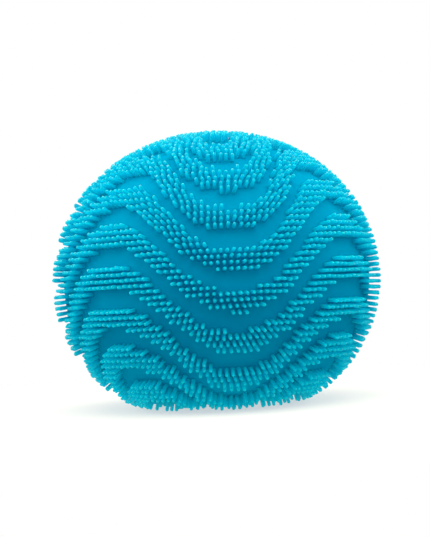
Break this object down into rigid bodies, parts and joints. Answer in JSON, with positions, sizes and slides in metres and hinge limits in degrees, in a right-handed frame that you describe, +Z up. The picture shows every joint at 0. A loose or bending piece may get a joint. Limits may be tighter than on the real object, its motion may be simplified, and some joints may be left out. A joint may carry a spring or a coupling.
{
  "type": "squishy stress ball",
  "caption": "Soft round squeeze ball, sagged on a flat foot, with wavy bands of short bristles, a dough filling and a plugged filling hole.",
  "frame": {"origin": "on the surface that the ball stands on, under the middle of the ball", "axes": "+Z up through the top of the ball, -Y towards the front, where the bands of bristles dip"},
  "size_m": [0.0948, 0.0948, 0.0805],
  "materials": {
    "skin": "satin moulded soft rubber",
    "dough": "matt kneaded dough",
    "plug": "satin moulded soft rubber"
  },
  "bodies": {
    "base": {"skin_base": "skin", "filling": "dough", "fill_plug": "plug"},
    "crown": {"skin_crown": "skin"}
  },
  "joints": [
    {"name": "squeeze", "type": "slide", "parent": "base", "child": "crown", "axis": [0, 0, -1], "range_m": [0, 0.025], "stiffness_N_per_m": 1200, "deforming": ["skin_base", "filling"]}
  ]
}
